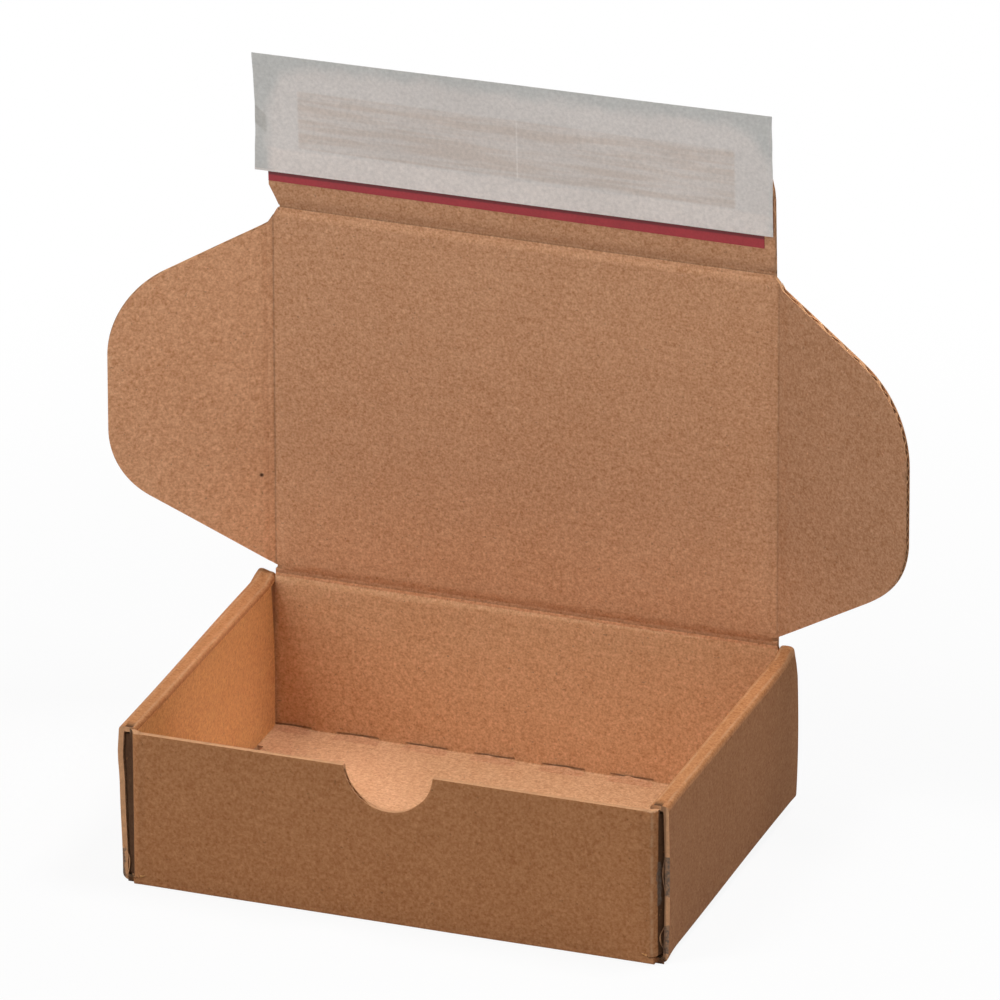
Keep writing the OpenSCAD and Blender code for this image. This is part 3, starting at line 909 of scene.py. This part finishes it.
def wing_ends(u):
    """How the ends of a wing's crease follow the outlines of the lid and the wing, out from the crease."""
    low = max(u, 0) * math.tan(math.radians(31.5))
    high = -u * math.tan(math.radians(50))
    return low, high if u < 1.5 * MM else high * 0.9


def make_creases(materials):
    """The folded board between tray and lid, lid and closure flap, and lid and wings."""
    half = CREASE_RUN + SLIT
    reach = WING_X - SLIT
    crease_strip("lid_crease", materials, Vector((0, HINGE_Y, HINGE_Z)), RIGHT, UP,
                 (-reach, reach), BOARD / 2, (half, half), 0)
    crease_strip("closure_flap_crease", materials, Vector((0, HINGE_Y, FLAP_Z)),
                 RIGHT, UP, (-WING_X + 2.2 * MM, WING_X - 1.2 * MM), BOARD / 2, (half, half), FLAP_REST)
    wing_span = (2.1 * MM, lid_high.z - HINGE_Z - 1.9 * MM)
    for side, name in ((-1, "wing_left"), (1, "wing_right")):
        crease_strip(name + "_crease", materials, Vector((side * WING_X, BACK_Y, HINGE_Z)),
                     UP, RIGHT * side, wing_span, BOARD, (WING_RUN + SLIT, SLIT), WING_REST,
                     0.2 * MM, wing_ends, 0.3)


def sheet(name, columns, rows, front, thick, material, body):
    """A closed thin sheet: front(u, v) gives a point and the direction in which its back lies."""
    bm = bmesh.new()
    sides = [[], []]
    for i in range(columns + 1):
        for side in sides:
            side.append([])
        for j in range(rows + 1):
            point, back = front(i / columns, j / rows)
            sides[0][i].append(bm.verts.new(point))
            sides[1][i].append(bm.verts.new(point + back * thick))
    for k, grid in enumerate(sides):
        for i in range(columns):
            for j in range(rows):
                ring = (grid[i][j], grid[i + 1][j], grid[i + 1][j + 1], grid[i][j + 1])
                bm.faces.new(ring if k else ring[::-1])
    border = [(i, 0) for i in range(columns)] + [(columns, j) for j in range(rows)]
    border += [(i, rows) for i in range(columns, 0, -1)] + [(0, j) for j in range(rows, 0, -1)]
    for (i, j), (m, n) in zip(border, border[1:] + border[:1]):
        bm.faces.new((sides[0][i][j], sides[0][m][n], sides[1][m][n], sides[1][i][j]))
    bmesh.ops.recalc_face_normals(bm, faces=bm.faces[:])
    mesh = bpy.data.meshes.new(name)
    bm.to_mesh(mesh)
    bm.free()
    piece = add_object(name, mesh)
    points = len(mesh.vertices)
    dress(mesh, [material], [0.0] * points, [1.0] * points)
    mesh.polygons.foreach_set("use_smooth", [True] * len(mesh.polygons))
    mesh.set_sharp_from_angle(angle=math.radians(35))
    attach(piece, body)
    return piece


def on_flap(x, away, height):
    """A point given along the closure flap's crease, out of its inner face and up from its crease."""
    y = -BOARD / 2 - away
    c, s = math.cos(FLAP_REST), math.sin(FLAP_REST)
    return Vector((x, HINGE_Y + y * c - height * s, FLAP_Z + y * s + height * c))


def make_liner():
    """The release liner lies on the adhesive and waves a little around it, clear of the shut box's front."""
    low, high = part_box("release_liner")

    def front(u, v):
        x = low.x + 1.2 * MM * (1 - u) + (high.x - low.x) * u
        height = LINER_START + LINER_TALL * v
        off_pad = max(abs(x) - 59 * MM, PAD_LOW - height, height - 31.8 * MM, 0)
        free = min(off_pad / (6 * MM), 1.6)
        wave = 0.5 + 0.5 * math.sin(x / (11 * MM) + 1.3 * math.sin(height / (9 * MM)))
        away = 0.3 * MM + free * (0.02 + 0.08 * wave) * MM
        ragged = 0.12 * MM * noise.noise(Vector((x, 0, height)) / (5 * MM))
        if u in (0, 1):
            x += ragged
        if u == 0:
            x += 0.5 * MM * math.sin(math.pi * v)
        slip = LINER_SLIP * u - 0.7 * MM * (1 - u) * v
        return on_flap(x, away + LINER_THICK, height + slip), Vector((0, 1, 0))

    piece = sheet("liner_paper", 110, 30, front, LINER_THICK, liner_paper(), "closure_flap")
    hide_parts("release_liner")


def along_line(points, u):
    """A point of the smooth curve through the given points, from 0 at the first to 1 at the last."""
    t = u * (len(points) - 1)
    k = min(int(t), len(points) - 2)
    f = t - k
    before, a, b, after = points[max(k - 1, 0)], points[k], points[k + 1], points[min(k + 2, len(points) - 1)]
    return (a * 2 + (b - before) * f + (before * 2 - a * 5 + b * 4 - after) * f * f
            + (a * 3 - before - b * 3 + after) * f ** 3) / 2


def make_torn_plies(paper):
    """Facing papers that have come loose along the side panels' front edges."""
    for name, line in PLIES.items():
        points = [Vector((x * MM, 0, z * MM)) for x, z in line]

        def front(u, v, points=points):
            spot = along_line(points, u)
            spot.y = FRONT_Y + 2.3 * MM + 2.2 * MM * v + 0.15 * MM * math.sin(9 * u)
            spot.z = max(spot.z, 0.1 * MM)
            return spot, Vector((math.copysign(1, spot.x), 0, 0))

        sheet(name, 36, 3, front, 0.22 * MM, paper, "tray")


def make_lips(paper):
    """Paper that the cuts in the crease between floor and back wall have lifted."""
    thick = 0.16 * MM
    base = BOARD - 0.1 * MM + thick
    half = 6.0 * MM
    for i in range(CUTS):
        middle = (i - CUTS // 2) * CUT_PITCH - CUT_SHIFT

        def front(u, v, middle=middle, i=i):
            x = middle + half * (2 * u - 1)
            uneven = 0.75 + 0.4 * noise.noise(Vector((x / (3 * MM), i, 0)))
            lift = math.sin(math.pi * u) ** 0.6 * uneven * MM
            y = BACK_Y - BOARD - 3.2 * MM + 2.5 * MM * v
            return Vector((x, y, base + lift * v * v)), Vector((0, 0, -1))

        sheet("lip_%d" % i, 24, 6, front, thick, paper, "tray")


def make_film_strips():
    """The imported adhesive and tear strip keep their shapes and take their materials."""
    for node, name, colour in (("adhesive_strip", "adhesive", GLUE), ("tear_strip", "tear_tape", TEAR_RED)):
        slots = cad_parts[node].data.materials
        slots.clear()
        slots.append(film(name, colour))


def main():
    noise.seed_set(WAVE_SEED)
    bpy.context.scene.view_settings.view_transform = "Standard"
    make_camera()
    make_world()
    make_floor()
    make_lamps()
    inside = board_face("inside_paper", INSIDE)
    outside = board_face("outside_paper", OUTSIDE, details=outer_details)
    inside_tray = board_face("inside_paper_tray", INSIDE_TRAY, details=floor_details)
    # The outer paper with painted bounced light, for the rolled panels inside the box
    rolled = board_face("lit_rolled_paper", ROLLED_LIT)
    spotted = board_face("inside_paper_spotted", INSIDE, [(SPOT, SPOT_RADIUS)])
    edge = cut_edge()
    board = (inside, outside, edge)
    make_boards(board, (spotted, outside, edge), (inside_tray, outside, edge, rolled))
    make_creases(board)
    make_liner()
    make_torn_plies(edge)
    make_lips(inside)
    make_film_strips()


main()
